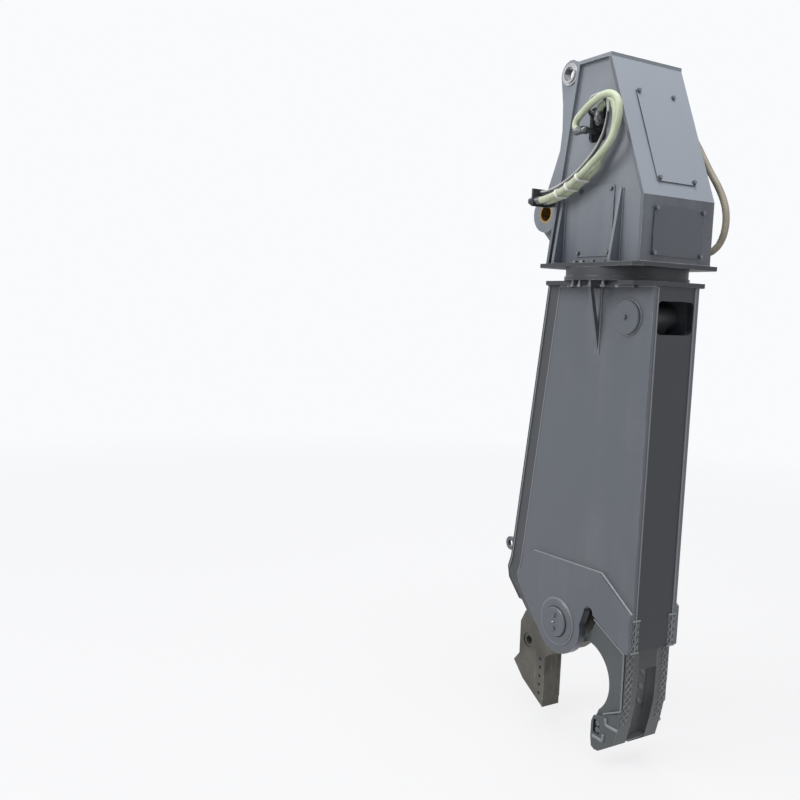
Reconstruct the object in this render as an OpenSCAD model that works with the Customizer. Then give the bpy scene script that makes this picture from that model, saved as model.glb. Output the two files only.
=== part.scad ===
/* [Boom and arm pins] */
// Distance from the boom pin to the slew axis
slew_x = 620; // [600:5:650]
// Height of the boom pin above the body's top plate
pin_h = 455; // [430:5:490]
// Distance that the arm pin stands forward of the boom pin
arm_pin_x = 105; // [90:5:125]
// Height of the arm pin above the boom pin
arm_pin_h = 895; // [860:5:930]
// Bore of the boom pin bushes
boom_bore = 100; // [80:1:104]
// Length of the boom pin boss
boom_boss_len = 310; // [280:2:340]
// Outer diameter of the boom pin boss
boom_boss_d = 220; // [190:2:230]
// Bore of the arm pin bushes
arm_bore = 88; // [60:1:90]
// Clear gap between the two ears
ear_gap = 112; // [100:2:130]
// Thickness of one ear
ear_t = 40; // [30:1:50]
// Rounding of the ears about the arm pin
ear_r = 90; // [80:1:100]
// Rounding of the ears about the boom pin
lug_r = 140; // [132:1:145]

/* [Head] */
// Height of the slew ring between the two big plates
ring_h = 81; // [76:1:95]
// Thickness of the head's base plate
base_t = 25; // [20:1:35]
// Front reach of the base plate from the slew axis
base_front = 433; // [420:1:460]
// Rear reach of the base plate from the slew axis
base_rear = 451; // [440:1:480]
// Half width of the base plate
base_half = 355; // [350:1:400]
// Corner cut of the base plate
base_cut = 43; // [20:1:60]
// Height of the head's top above the body's top plate
head_top = 1335; // [1300:5:1345]
// Height of the bend in the front plate
bend_h = 487; // [450:1:520]
// Reach of the lower front of the head
head_front = 391; // [380:1:405]
// Reach of the front edge of the head's top
ridge_x = 63; // [20:1:90]
// Reach of the rear edge of the head's top behind the slew axis
rear_top = 228; // [210:1:250]
// Reach of the back plate's foot behind the slew axis
rear_foot = 424; // [410:1:440]
// Half width of the head
head_half = 296; // [290:1:310]
// Inset of the side plates from the head's edges
side_inset = 26; // [15:1:35]
// Thickness of the head's walls
wall_t = 22; // [18:1:28]
// Length of the hose port in the side plate
port_w = 150; // [120:1:160]
// Height of the hose port
port_h = 210; // [160:1:230]
// Thickness of the bolted covers
cover_t = 8; // [5:1:12]

/* [Body] */
// Thickness of the body's top plate
top_t = 26; // [20:1:32]
// Half thickness of the body over its side plates
body_half = 189; // [186:1:196]
// Thickness of a side plate
side_t = 32; // [28:1:36]
// Thickness of the cheek plates round the pivot
cheek_t = 24; // [18:1:28]
// Reach of the body's front from the slew axis
body_front = 418; // [410:1:424]
// Thickness of the front plate
front_t = 45; // [35:1:50]
// Reach of a side plate's rear edge at the top
body_rear = 392; // [380:1:410]
// Reach of the side plate's rear edge at its widest
body_bulge = 640; // [620:1:650]
// Height above the jaw pivot at which the body is widest
bulge_rise = 276; // [256:1:296]
// Distance from a side plate's rear edge to the back plate
back_gap = 146; // [135:1:155]
// Half width of the back plate
back_half = 148; // [140:1:152]
// Thickness of the back and corner plates
back_t = 22; // [16:1:25]
// Height of the front window
window_h = 198; // [150:1:220]
// Width of the front plate left beside the window
window_side = 9; // [7:1:35]

/* [Jaw] */
// Distance of the jaw pivot behind the slew axis
pivot_x = 212; // [205:1:220]
// Depth of the jaw pivot below the body's top plate
pivot_depth = 2226; // [2210:2:2240]
// Reach of the moving jaw from its pivot
jaw_reach = 775; // [750:1:780]
// Thickness of the moving jaw
jaw_t = 150; // [140:1:152]
// Diameter of the pivot pin
pivot_d = 160; // [140:1:170]
// Radius of the side plates and cheeks round the pivot
tongue_r = 212; // [204:1:216]
// Radius of the round throat in the fixed jaw
throat_r = 233; // [225:1:240]
// Gap between the two fixed jaw plates
jaw_slot = 160; // [158:1:170]
// Height of the raised nose and back bar over the recess
nose_step = 26; // [15:1:30]
// Distance from the pivot to the rod pin
lever_r = 330; // [322:1:332]
// Angle of the lever from upright, jaw open
lever_a = 30.75; // [30:0.25:32]

/* [Cylinder] */
// Distance of the cylinder's rear pin in front of the slew axis
cyl_x = 225; // [215:1:230]
// Depth of the cylinder's rear pin below the body's top plate
cyl_depth = 214; // [205:1:230]
// Outer diameter of the barrel
barrel_d = 224; // [210:2:236]
// Bore of the barrel
bore_d = 180; // [160:1:190]
// Diameter of the piston rod
rod_d = 100; // [80:1:110]
// Length of piston rod that shows with the jaw open
rod_show = 206.5; // [150:0.5:300]

/* [Hidden] */
$fn = 64;

// Smallest gap between pieces that touch but turn or slide on each other
slide_gap = 0.3;
// Radial clearance of pins in their bushes
fit = 0.06;
// Gap between slanted faces that lie on each other
seat = 0.05;
// Overrun of a cut past the face that it opens
over = 2;

// Colours of the paint, the worn steel and the fittings
paint = [0.42, 0.44, 0.47];
paint_pale = [0.50, 0.53, 0.57];
paint_dark = [0.30, 0.31, 0.34];
worn = [0.38, 0.37, 0.33];
steel = [0.62, 0.63, 0.65];
bronze = [0.66, 0.52, 0.30];
rubber = [0.12, 0.12, 0.12];
sleeve = [0.73, 0.76, 0.66];

// Pins, as [x, z] from the slew axis and the body's top face
boom_pin = [-slew_x, pin_h];
arm_pin = boom_pin + [arm_pin_x, arm_pin_h];
pivot = [-pivot_x, -pivot_depth];
cyl_pin = [cyl_x, -cyl_depth];
lever_pin = pivot + lever_r * [-sin(lever_a), cos(lever_a)];

base_top = ring_h + base_t;
head_under = head_top - wall_t;
side_y = head_half - side_inset;
body_in = body_half - side_t;
window_half = body_in - window_side;
nose_face = body_in + nose_step;
cheek_y = body_half + cheek_t;

module placed() translate([slew_x, 0, -pin_h]) children();
module slab(y0, y1) translate([0, y1, 0]) rotate([90, 0, 0]) linear_extrude(y1 - y0) children();
module cross_slab(x0, x1) translate([x0, 0, 0]) rotate([90, 0, 90]) linear_extrude(x1 - x0) children();
module drum(p, r, y0, y1) translate([p[0], y1, p[1]]) rotate([90, 0, 0]) cylinder(r = r, h = y1 - y0);
module pair() {
    children();
    mirror([0, 1, 0]) children();
}
module far_side() mirror([0, 1, 0]) children();
module rounded(size, r) translate([r, r]) {
    translate([0, -r]) square([size[0] - 2 * r, size[1]]);
    translate([-r, 0]) square([size[0], size[1] - 2 * r]);
    for (x = [0, size[0] - 2 * r], y = [0, size[1] - 2 * r]) translate([x, y]) circle(r);
}

// A path moved sideways by t, with its corners mitred
function unit(v) = v / norm(v);
function left(a, b) = let (d = unit(b - a)) [-d[1], d[0]];
function moved(p, t) = [for (i = [0 : len(p) - 1])
    let (n = len(p) - 1, a = left(p[max(i - 1, 0)], p[max(i, 1)]),
        b = left(p[min(i, n - 1)], p[min(i + 1, n)]))
    p[i] + t * (a + b) / (1 + a * b)];
function turned_back(p) = [for (i = [len(p) - 1 : -1 : 0]) p[i]];
// The point of the line a-b at height z, and a moved path whose ends keep the heights of the first one
function at_z(a, b, z) = a + (z - a[1]) / (b[1] - a[1]) * (b - a);
function level(p, t) = let (m = moved(p, t), n = len(p) - 1) [for (i = [0 : n])
    i == 0 ? at_z(m[0], m[1], p[0][1]) : i == n ? at_z(m[n - 1], m[n], p[n][1]) : m[i]];
module band(path, t) polygon(concat(path, turned_back(level(path, t))));

// Hexagon-headed bolt along +X: washer, head and a shank that goes back into its hole
bolt_d = 16;
bolt_head_d = 27;
bolt_head_h = 10;
washer_d = 32;
washer_t = 3;
shank_fit = 0.5;
module bolt(shank) rotate([0, 90, 0]) {
    cylinder(d = washer_d, h = washer_t);
    translate([0, 0, washer_t]) cylinder(d = bolt_head_d, h = bolt_head_h, $fn = 6);
    translate([0, 0, -shank]) cylinder(d = bolt_d, h = shank);
}
module bolt_hole(depth) rotate([0, 90, 0]) translate([0, 0, -depth])
    cylinder(d = bolt_d + 2 * shank_fit, h = depth + over);

// HEAD: plates
swivel_hole = 88;
motor_x = 164;
motor_pilot = 62;
ring_bolt_r = 336;
ring_bolt_n = 24;
ring_bolt_d = 22;
// Angles of the ring bolts, leaving out those that would sit under a side plate
function ring_angles(clear) = [for (i = [0 : ring_bolt_n - 1])
    let (a = (i + 0.5) * 360 / ring_bolt_n, y = abs(ring_bolt_r * sin(a)))
    if (abs(y - side_y + wall_t / 2) > wall_t / 2 + clear) a];
ring_head_d = 36;
ring_head_h = 14;

module base_plate() color(paint) placed() difference() {
    translate([0, 0, ring_h]) linear_extrude(base_t) polygon([
        [-base_rear, base_cut - base_half], [base_cut - base_rear, -base_half],
        [base_front - base_cut, -base_half], [base_front, base_cut - base_half],
        [base_front, base_half - base_cut], [base_front - base_cut, base_half],
        [base_cut - base_rear, base_half], [-base_rear, base_half - base_cut]]);
    translate([0, 0, ring_h - over]) cylinder(r = swivel_hole, h = base_t + 2 * over);
    translate([motor_x, 0, ring_h - over]) cylinder(r = motor_pilot + shank_fit, h = base_t + 2 * over);
    for (a = ring_angles(ring_head_d / 2)) rotate(a) translate([ring_bolt_r, 0, ring_h - over])
        cylinder(d = ring_bolt_d + 2 * shank_fit, h = base_t + 2 * over);
}

front_path = [[ridge_x, head_under], [head_front, bend_h], [head_front, base_top]];
back_path = [[-rear_top, head_under], [-rear_foot, base_top]];
slope_a = atan2(head_front - ridge_x, head_under - bend_h);
slope_len = norm(front_path[1] - front_path[0]);
module on_slope() translate([head_front, 0, bend_h]) rotate([0, -slope_a, 0]) children();

slope_cover_half = 162;
slope_cover_foot = 92;
slope_cover_len = 600;
slope_bolt_inset = 18;
low_cover_half = 208;
low_cover_foot = 42;
low_cover_len = 282;
low_bolt_inset = 14;
function slope_spots() = [for (y = [-1, 1], z = [0, 1])
    [y * (slope_cover_half - slope_bolt_inset),
        slope_cover_foot + slope_bolt_inset + z * (slope_cover_len - 2 * slope_bolt_inset)]];
function low_spots() = [for (y = [-1, 1], z = [0, 1])
    [y * (low_cover_half - low_bolt_inset),
        base_top + low_cover_foot + low_bolt_inset + z * (low_cover_len - 2 * low_bolt_inset)]];

// Vent opening behind each bolted cover
cover_frame = 40;
opening_r = 30;
module head_front_plate() color(paint_pale) placed() difference() {
    slab(-head_half, head_half) band(front_path, -wall_t);
    on_slope() {
        for (s = slope_spots()) translate([0, s[0], s[1]]) bolt_hole(wall_t + over);
        cross_slab(-wall_t - over, over)
            translate([cover_frame - slope_cover_half, slope_cover_foot + cover_frame])
            rounded([2 * (slope_cover_half - cover_frame), slope_cover_len - 2 * cover_frame], opening_r);
    }
    translate([head_front, 0, 0]) {
        for (s = low_spots()) translate([0, s[0], s[1]]) bolt_hole(wall_t + over);
        cross_slab(-wall_t - over, over)
            translate([cover_frame - low_cover_half, base_top + low_cover_foot + cover_frame])
            rounded([2 * (low_cover_half - cover_frame), low_cover_len - 2 * cover_frame], opening_r);
    }
}

cover_r = 12;
module slope_cover() color(paint_pale) placed() on_slope() difference() {
    cross_slab(seat, cover_t) translate([-slope_cover_half, slope_cover_foot])
        rounded([2 * slope_cover_half, slope_cover_len], cover_r);
    for (s = slope_spots()) translate([cover_t, s[0], s[1]]) bolt_hole(cover_t + over);
}
module lower_front_cover() color(paint_dark) placed() translate([head_front, 0, 0]) difference() {
    cross_slab(0, cover_t) translate([-low_cover_half, base_top + low_cover_foot])
        rounded([2 * low_cover_half, low_cover_len], cover_r);
    for (s = low_spots()) translate([cover_t, s[0], s[1]]) bolt_hole(cover_t + over);
}

module head_top_plate() color(paint_pale) placed()
    slab(-head_half, head_half) translate([-rear_top, head_under]) square([ridge_x + rear_top, wall_t]);

module head_back_plate() color(paint) placed() slab(-head_half, head_half) band(back_path, wall_t);

// Side plates with the hose port and the access opening behind the side cover
port_x = -42;
port_z = 935;
port_r = 35;
side_cover_x = -168;
side_cover_w = 305;
side_cover_z = 40;
side_cover_h = 420;
side_bolt_inset = 24;
function side_spots() = [for (x = [0, 1], z = [0, 1])
    [side_cover_x + side_bolt_inset + x * (side_cover_w - 2 * side_bolt_inset),
        base_top + side_cover_z + side_bolt_inset + z * (side_cover_h - 2 * side_bolt_inset)]];
module head_side() difference() {
    slab(-side_y, wall_t - side_y)
        polygon(concat(level(front_path, -wall_t), turned_back(level(back_path, wall_t))));
    slab(-side_y - over, wall_t - side_y + over) {
        translate([port_x - port_w / 2, port_z - port_h / 2]) rounded([port_w, port_h], port_r);
        translate([side_cover_x + cover_frame, base_top + side_cover_z + cover_frame])
            rounded([side_cover_w - 2 * cover_frame, side_cover_h - 2 * cover_frame], opening_r);
    }
    for (s = side_spots()) translate([s[0], -side_y, s[1]]) rotate(-90) bolt_hole(wall_t + over);
}
module head_side_near() color(paint) placed() head_side();
far_elbow_low = [300, 190];
far_elbow_high = [120, 930];
module head_side_far() color(paint) placed() difference() {
    far_side() head_side();
    drum(far_elbow_low, hose_d * pipe_share / 2 + slide_gap, side_y - wall_t - over, side_y + over);
    drum(far_elbow_high, hose_d * pipe_share / 2 + slide_gap, side_y - wall_t - over, side_y + over);
}
module side_covers() color(paint) placed() pair() difference() {
    slab(-side_y - cover_t, -side_y) translate([side_cover_x, base_top + side_cover_z])
        rounded([side_cover_w, side_cover_h], cover_r);
    for (s = side_spots()) translate([s[0], -side_y - cover_t, s[1]]) rotate(-90) bolt_hole(cover_t + over);
}
module cover_bolts() color(paint_dark) placed() {
    on_slope() for (s = slope_spots()) translate([cover_t, s[0], s[1]]) bolt(cover_t + wall_t);
    for (s = low_spots()) translate([head_front + cover_t, s[0], s[1]]) bolt(cover_t + wall_t);
    pair() for (s = side_spots()) translate([s[0], -side_y - cover_t, s[1]]) rotate(-90)
        bolt(cover_t + wall_t);
}

// Ears, as shares of the arm pin's height from the boom pin
ear_rear_shares = [[0.05, 0.791], [0.059, 0.609], [0.045, 0.466], [-0.011, 0.327], [-0.088, 0.15]];
ear_foot = 20;
module ear_outline() {
    top_edge = head_under - wall_t;
    top_x = -rear_top - (rear_foot - rear_top) * (head_under - top_edge) / (head_under - base_top);
    translate(arm_pin) circle(ear_r);
    translate(boom_pin) circle(lug_r);
    polygon(concat([arm_pin + [0, ear_r], arm_pin - [ear_r, 0]],
        [for (s = ear_rear_shares) boom_pin + arm_pin_h * s],
        [boom_pin - [lug_r, 0], boom_pin + lug_r * [cos(225), sin(225)],
            [-rear_foot - ear_foot, base_top], [-rear_foot - seat, base_top], [top_x - seat, top_edge]]));
}
module ears() color(paint_pale) placed() pair() difference() {
    slab(-ear_gap / 2 - ear_t, -ear_gap / 2) ear_outline();
    drum(boom_pin, boom_boss_d / 2, -ear_gap - ear_t, 0);
    drum(arm_pin, arm_bore / 2 + bush_wall, -ear_gap - ear_t, 0);
}
bush_wall = 12;
collar_t = 20;
collar_step = 14;
module boom_pin_boss() color(paint) placed() difference() {
    union() {
        drum(boom_pin, boom_boss_d / 2, -boom_boss_len / 2, boom_boss_len / 2);
        pair() drum(boom_pin, boom_boss_d / 2 + collar_step, -boom_boss_len / 2,
            collar_t - boom_boss_len / 2);
    }
    drum(boom_pin, boom_bore / 2 + bush_wall + fit, -boom_boss_len, boom_boss_len);
}
boom_bush_len = 110;
module boom_pin_bushes() color(bronze) placed() pair() difference() {
    drum(boom_pin, boom_bore / 2 + bush_wall, -boom_boss_len / 2, boom_bush_len - boom_boss_len / 2);
    drum(boom_pin, boom_bore / 2, -boom_boss_len, 0);
}
// Flanged bushes: the stepped rings show on the outer face of each ear
arm_flange_t = 9;
arm_flange_step = 16;
module arm_pin_bushes() color(steel) placed() pair() difference() {
    union() {
        drum(arm_pin, arm_bore / 2 + bush_wall - fit, -ear_gap / 2 - ear_t, -ear_gap / 2);
        drum(arm_pin, arm_bore / 2 + bush_wall + arm_flange_step,
            -ear_gap / 2 - ear_t - arm_flange_t, -ear_gap / 2 - ear_t);
        drum(arm_pin, arm_bore / 2 + bush_wall, -ear_gap / 2 - ear_t - 2 * arm_flange_t,
            -ear_gap / 2 - ear_t - arm_flange_t);
    }
    drum(arm_pin, arm_bore / 2, -ear_gap - ear_t, 0);
}

gusset_t = 20;
gusset_xs = [-300, 195];
gusset_h = 430;
gusset_reach = 78;
gusset_toe = 16;
module side_gussets() color(paint) placed() pair() for (x = gusset_xs)
    cross_slab(x - gusset_t / 2, x + gusset_t / 2)
        polygon([[-side_y, base_top], [-side_y, base_top + gusset_h],
        [-side_y - gusset_toe, base_top + gusset_h], [-side_y - gusset_reach, base_top + gusset_toe],
        [-side_y - gusset_reach, base_top]]);

// SLEW RING, motor and swivel
tooth_m = 10;
ring_teeth = 46;
pinion_teeth = 13;
outer_r = 372;
race_r = 300;
flange_r = 380;
flange_h = 25;
flange_in = 232;
ring_seam = 2;
backlash = 2.4;
// Straight-flanked teeth: root and tip radius, and half widths of a tooth at both
function teeth(n, r_root, r_tip, w_root, w_tip) = [for (i = [0 : n - 1], s = [0 : 3])
    let (a = 360 * i / n, r = (s == 0 || s == 3) ? r_root : r_tip,
        w = (s == 0 ? -w_root : s == 1 ? -w_tip : s == 2 ? w_tip : w_root))
    [r * cos(a) - w * sin(a), r * sin(a) + w * cos(a)]];
pitch_r = tooth_m * ring_teeth / 2;
pinion_r = tooth_m * pinion_teeth / 2;
root_share = 0.52;
tip_share = 0.20;
module slew_rim(h) difference() {
    cylinder(r = race_r - slide_gap, h = h);
    translate([0, 0, -over]) linear_extrude(h + 2 * over)
        polygon(teeth(ring_teeth, pitch_r - tooth_m, pitch_r + 1.25 * tooth_m,
            tooth_m * PI / 2 * (1 + tip_share) / 1.6, tooth_m * PI / 2 * root_share));
}
module ring_outer() color(paint) placed() difference() {
    translate([0, 0, flange_h + ring_seam]) cylinder(r = outer_r, h = ring_h - flange_h - ring_seam);
    cylinder(r = race_r, h = ring_h + over);
    for (a = ring_angles(ring_head_d / 2)) rotate(a) translate([ring_bolt_r, 0, flange_h])
        cylinder(d = ring_bolt_d + 2 * shank_fit, h = ring_h);
}
module ring_bolts() color(paint_dark) placed() for (a = ring_angles(ring_head_d / 2))
    rotate(a) translate([ring_bolt_r, 0, base_top]) {
        cylinder(d = ring_head_d, h = ring_head_h, $fn = 6);
        translate([0, 0, -base_t - ring_h / 2]) cylinder(d = ring_bolt_d, h = base_t + ring_h / 2);
    }
module ring_geared() color(steel) placed() translate([0, 0, flange_h])
    slew_rim(ring_h - flange_h - ring_seam);

flange_bolt_r = 342;
function flange_angles() = [for (i = [0 : ring_bolt_n - 1])
    let (a = (i + 0.5) * 360 / ring_bolt_n, y = abs(flange_bolt_r * sin(a)))
    if (abs(y - body_half + side_t / 2) > side_t / 2 + ring_head_d / 2) a];
module ring_flange() color(paint) placed() difference() {
    cylinder(r = flange_r, h = flange_h);
    translate([0, 0, -over]) cylinder(r = flange_in, h = flange_h + 2 * over);
    for (a = flange_angles()) rotate(a) translate([flange_bolt_r, 0, -over])
        cylinder(d = ring_bolt_d + 2 * shank_fit, h = flange_h);
}
module flange_bolts() color(paint_dark) placed() for (a = flange_angles())
    rotate(a) translate([flange_bolt_r, 0, -top_t]) {
        translate([0, 0, -ring_head_h]) cylinder(d = ring_head_d, h = ring_head_h, $fn = 6);
        cylinder(d = ring_bolt_d, h = top_t + flange_h / 2);
    }

motor_d = 134;
motor_h = 250;
motor_flange = 150;
motor_flange_t = 22;
motor_cap_d = 110;
motor_cap_h = 40;
motor_shaft_d = 50;
motor_port_d = 40;
motor_port_l = 50;
module slew_motor() color(paint_dark) placed() translate([motor_x, 0, base_top]) {
    translate([0, 0, -base_t]) cylinder(r = motor_pilot, h = base_t);
    translate([-motor_flange / 2, -motor_flange / 2]) linear_extrude(motor_flange_t)
        rounded([motor_flange, motor_flange], motor_flange_t);
    translate([0, 0, motor_flange_t]) cylinder(d = motor_d, h = motor_h - motor_flange_t);
    translate([0, 0, motor_h]) cylinder(d = motor_cap_d, h = motor_cap_h);
    for (s = [-1, 1]) translate([s * motor_port_d, 0, motor_h - motor_port_d]) rotate([90, 0, 0])
        cylinder(d = motor_port_d, h = motor_d / 2 + motor_port_l);
}
pinion_top = 7;
module slew_pinion() color(steel) placed() translate([motor_x, 0, flange_h + ring_seam]) {
    linear_extrude(ring_h - flange_h - ring_seam - pinion_top)
        polygon(teeth(pinion_teeth, pinion_r - 1.2 * tooth_m, pinion_r + 0.85 * tooth_m,
            tooth_m * PI / 2 * root_share - backlash / 4, tooth_m * PI / 2 * tip_share));
    cylinder(d = motor_shaft_d, h = ring_h - flange_h - ring_seam - slide_gap);
}

swivel_d = 170;
swivel_h = 250;
spindle_d = 110;
spindle_flange = 210;
spindle_flange_t = 18;
swivel_flange = 240;
swivel_foot = 30;
module swivel_housing() color(paint_dark) placed() difference() {
    union() {
        translate([0, 0, swivel_foot]) cylinder(d = swivel_d, h = swivel_h);
        intersection() {
            translate([0, 0, base_top]) cylinder(d = swivel_flange, h = spindle_flange_t);
            translate([-swivel_flange, -swivel_flange, base_top])
                cube([swivel_flange + motor_x - motor_flange / 2 - over, 2 * swivel_flange,
                    spindle_flange_t]);
        }
    }
    cylinder(d = spindle_d + 2 * slide_gap, h = 2 * swivel_h);
}
spindle_tail = 60;
module swivel_spindle() color(steel) placed() {
    cylinder(d = spindle_flange, h = spindle_flange_t);
    translate([0, 0, -top_t - spindle_tail])
        cylinder(d = spindle_d, h = top_t + spindle_tail + swivel_foot + swivel_h);
}

// HOSES: routes as [x, z] from the slew axis, each hose in its own plane beside the head
hose_d = 44;
thin_d = 16;
hose_sides = 12;
thin_sides = 8;
upper_y = -382;
inner_y = -320;
thin_y = -351;
upper_loop = [[-74, 890], [-87, 890], [-109, 905], [-118, 930], [-104, 960], [-64, 990], [-8, 1024],
    [55, 1052], [115, 1066], [172, 1060], [217, 1030], [240, 980], [240, 920],
    [224, 860], [192, 802], [128, 742]];
inner_loop = [[8, 968], [8, 978], [14, 1002], [36, 1030], [72, 1042], [110, 1034], [140, 1006],
    [153, 965], [152, 905], [136, 845], [100, 785], [55, 726]];
bundle = [[20, 668], [-65, 614], [-155, 568], [-245, 534], [-335, 514], [-400, 506], [-446, 506]];
thin_loop = [[-20, 1062], [45, 1068], [95, 1042], [118, 985], [115, 915], [95, 845], [55, 780],
    [0, 722], [-70, 668], [-150, 620], [-235, 582], [-320, 556], [-400, 543], [-446, 543]];
function in_plane(p, y) = [for (q = p) [q[0], y, q[1]]];
upper_route = in_plane(concat(upper_loop, bundle), upper_y);
inner_route = in_plane(concat(inner_loop, bundle), inner_y);
thin_start = [[-52, -258, 975], [-52, -300, 978], [-50, -335, 990], [-44, thin_y, 1015],
    [-36, thin_y, 1040]];
thin_route = concat(thin_start, in_plane(thin_loop, thin_y));
far_route = [[120, 326, 930], [120, 338, 930], [124, 356, 921], [136, 378, 895], [168, 396, 830],
    [238, 402, 715], [318, 404, 600], [374, 402, 500], [398, 400, 410],
    [396, 396, 320], [376, 384, 250], [344, 364, 206],
    [312, 346, 193], [300, 334, 190], [300, 322, 190]];
thin_shift = [0, 0, 20];

// A tube swept along a route: each ring lies square to the route there
function tangent(p, i) = unit(p[min(i + 1, len(p) - 1)] - p[max(i - 1, 0)]);
module skin(points, sides) {
    n = len(points) / sides;
    ends = [[for (k = [0 : sides - 1]) k], [for (k = [sides - 1 : -1 : 0]) (n - 1) * sides + k]];
    polyhedron(points, concat(ends, [for (i = [0 : n - 2], k = [0 : sides - 1], h = [0, 1])
        let (j = (k + 1) % sides, a = i * sides, b = a + sides)
            h == 0 ? [a + k, b + k, b + j] : [a + k, b + j, a + j]]));
}
module tube(route, d, sides, up) skin([for (i = [0 : len(route) - 1])
    let (t = tangent(route, i), u = unit(cross(t, up)), v = cross(t, u)) for (k = [0 : sides - 1])
    route[i] + d / 2 * (cos(360 * k / sides) * u + sin(360 * k / sides) * v)], sides);
module hose_pair() color(sleeve) placed() for (r = [upper_route, inner_route])
    tube(r, hose_d, hose_sides, [0, 1, 0]);
module hose_thin_pair() color(rubber) placed() {
    tube(thin_route, thin_d, thin_sides, [0, 1, 0]);
    tube([for (p = thin_route) p + thin_shift], thin_d, thin_sides, [0, 1, 0]);
}
module hose_far() color(sleeve) placed() tube(far_route, hose_d, hose_sides, [1, 0, 0]);

// Steel fittings: straight stub along a direction, with a hexagon nut
nut_d = 62;
nut_l = 26;
module fitting(from, to, d) {
    v = to - from;
    translate(from) rotate([0, acos(v[2] / norm(v)), atan2(v[1], v[0])]) {
        cylinder(d = d, h = norm(v));
        translate([0, 0, norm(v) - nut_l]) cylinder(d = d * nut_d / hose_d, h = nut_l, $fn = 6);
    }
}
pipe_share = 0.8;
upper_elbow = [-46, 890];
inner_elbow = [8, 940];
module elbow(p, y, route) {
    fitting([p[0], wall_t - side_y, p[1]], [p[0], y, p[1]], hose_d * pipe_share);
    fitting([p[0], y, p[1]], route[0], hose_d * pipe_share);
    translate([p[0], y, p[1]]) sphere(d = hose_d * pipe_share);
}
module port_elbows() color(paint_dark) placed() {
    elbow(upper_elbow, upper_y, upper_route);
    elbow(inner_elbow, inner_y, inner_route);
    for (p = [[far_elbow_high, far_route[0]], [far_elbow_low, far_route[len(far_route) - 1]]])
        fitting([p[0][0], side_y - wall_t, p[0][1]], p[1], hose_d * pipe_share);
}
tie_w = 16;
tie_t = 5;
tie_r_cut = 2;
tie_n = 3;
tie_spots = [for (i = [1 : tie_n]) len(upper_loop) + i];
module hose_ties() color(rubber) placed() for (i = tie_spots) {
    t = tangent(upper_route, i);
    w = upper_y - inner_y;
    translate([upper_route[i][0], (upper_y + inner_y) / 2, upper_route[i][2]])
        rotate([0, acos(t[2]), atan2(t[1], t[0])]) translate([-hose_d / 2, w / 2 - hose_d / 2, -tie_w / 2])
        linear_extrude(tie_w) difference() {
            translate([-tie_t, -tie_t])
                rounded([hose_d + 2 * tie_t, hose_d - w + 2 * tie_t], hose_d / 2 + tie_t - tie_r_cut);
            rounded([hose_d, hose_d - w], hose_d / 2 - tie_r_cut);
        }
}
// Bulkhead bracket on which the hoses end, with a screwed stub for each line beyond it
clamp_t = 12;
clamp_foot = 470;
clamp_top = 580;
clamp_y = -274;
stub_l = 48;
module hose_clamp() color(paint_dark) placed() {
    x = upper_route[len(upper_route) - 1][0];
    slab(upper_y - hose_d / 2 - clamp_t, clamp_y) translate([x - clamp_t, clamp_foot])
        square([clamp_t, clamp_top - clamp_foot]);
    slab(clamp_y - clamp_t, clamp_y) polygon([[x - clamp_t, clamp_foot], [x - clamp_t, clamp_top],
        at_z(back_path[0], back_path[1], clamp_top), at_z(back_path[0], back_path[1], clamp_foot)]);
    for (r = [upper_route, inner_route]) {
        e = r[len(r) - 1];
        fitting(e - [clamp_t, 0, 0], e - [clamp_t + stub_l, 0, 0], hose_d * pipe_share);
    }
    for (z = [0, 1]) {
        e = thin_route[len(thin_route) - 1] + z * thin_shift;
        fitting(e - [clamp_t, 0, 0], e - [clamp_t + stub_l / 2, 0, 0], thin_d * pipe_share);
    }
}

// BODY: box plates
front_top = -top_t;
top_half = 296;
top_cut = 76;
top_lip = 12;
top_front = body_front + top_lip;
top_tail = 24;
top_rear = body_rear + back_gap + top_tail;
top_rear_half = 150;
top_rear_corner = 412;
module body_top_plate() color(paint) placed() difference() {
    translate([0, 0, -top_t]) linear_extrude(top_t) polygon([
        [-top_rear, -top_rear_half], [-top_rear_corner, -top_half], [top_front - top_cut, -top_half],
        [top_front, top_cut - top_half], [top_front, top_half - top_cut], [top_front - top_cut, top_half],
        [-top_rear_corner, top_half], [-top_rear, top_rear_half]]);
    translate([0, 0, -top_t - over]) cylinder(d = spindle_d + 2 * shank_fit, h = top_t + 2 * over);
    for (a = flange_angles()) rotate(a) translate([flange_bolt_r, 0, -top_t - over])
        cylinder(d = ring_bolt_d + 2 * shank_fit, h = top_t + 2 * over);
}

// Lower outline of side plates and cheeks, as shares of the distance from the pivot to the body's front
span = body_front + pivot_x;
slot_share = 0.448;
slot_rise_share = 0.232;
slot_r_share = 0.065;
slot_mouth_share = 0.063;
chin_shares = [[1, -0.003], [0.973, -0.008], [slot_share + slot_mouth_share, slot_rise_share],
    [slot_share - slot_mouth_share, slot_rise_share], [0.33, 0.071]];
// Point at which a line from p meets the tongue's round side
function touch(p, r) = let (a = atan2(p[1], p[0]) + acos(r / norm(p))) r * [cos(a), sin(a)];
module chin(points) difference() {
    union() {
        polygon(concat(points, [for (s = chin_shares) pivot + span * s],
            [pivot, pivot + touch(points[0] - pivot, tongue_r)]));
        translate(pivot) circle(tongue_r);
    }
    translate(pivot + span * [slot_share, slot_rise_share]) circle(span * slot_r_share);
}
side_rear_shares = [[-0.698, 0.208], [-0.724, 0.311]];
side_rear = [[-body_rear, front_top], [-body_bulge, bulge_rise - pivot_depth],
    pivot + span * side_rear_shares[1], pivot + span * side_rear_shares[0]];
cheek_shares = [[-0.66, 0.225], [-0.697, 0.311], [-0.616, 0.438], [-0.552, 0.549], [-0.441, 0.637],
    [-0.062, 0.649], [0.575, 0.671], [1, 0.383]];
module pin_bore(y0, y1) drum(pivot, pivot_d / 2 + fit, y0, y1);
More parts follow.
